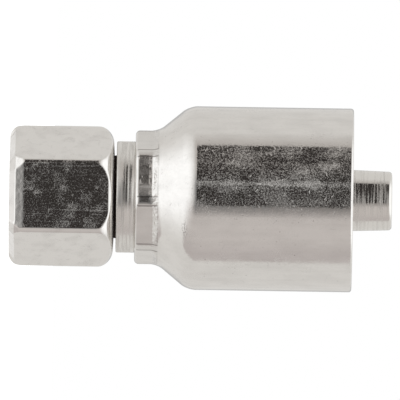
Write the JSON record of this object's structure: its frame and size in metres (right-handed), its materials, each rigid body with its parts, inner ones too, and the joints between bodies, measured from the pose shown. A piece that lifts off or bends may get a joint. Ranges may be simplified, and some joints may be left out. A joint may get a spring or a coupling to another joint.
{
  "type": "crimp hose fitting",
  "caption": "Straight crimp hose fitting: hexagon swivel nut with flare seat, barbed hose tail, and a cylindrical ferrule crimped on behind the collar.",
  "frame": {"origin": "centre of the nut's front face, which the fitting stands on", "axes": "+Z along the fitting's axis, from the nut to the hose tail; -Y out of one facet of the nut; +X through one of its corners"},
  "size_m": [0.0214, 0.0214, 0.0445],
  "materials": {
    "nut_zinc_plated_steel": "bright zinc plate on hexagon bar, tumbled, fine speckle and scratches",
    "nipple_zinc_plated_steel": "bright zinc plate over fine turning marks",
    "ferrule_zinc_plated_steel": "bright zinc plate over drawn steel, lengthwise streaks and fine pits"
  },
  "bodies": {
    "stem": {"nipple": "nipple_zinc_plated_steel", "ferrule": "ferrule_zinc_plated_steel"},
    "nut": {"swivel_nut": "nut_zinc_plated_steel"}
  },
  "joints": [
    {"name": "nut_spin", "type": "hinge", "parent": "stem", "child": "nut", "pos_m": [0, 0, 0.006], "axis": [0, 0, 1], "continuous": true}
  ]
}
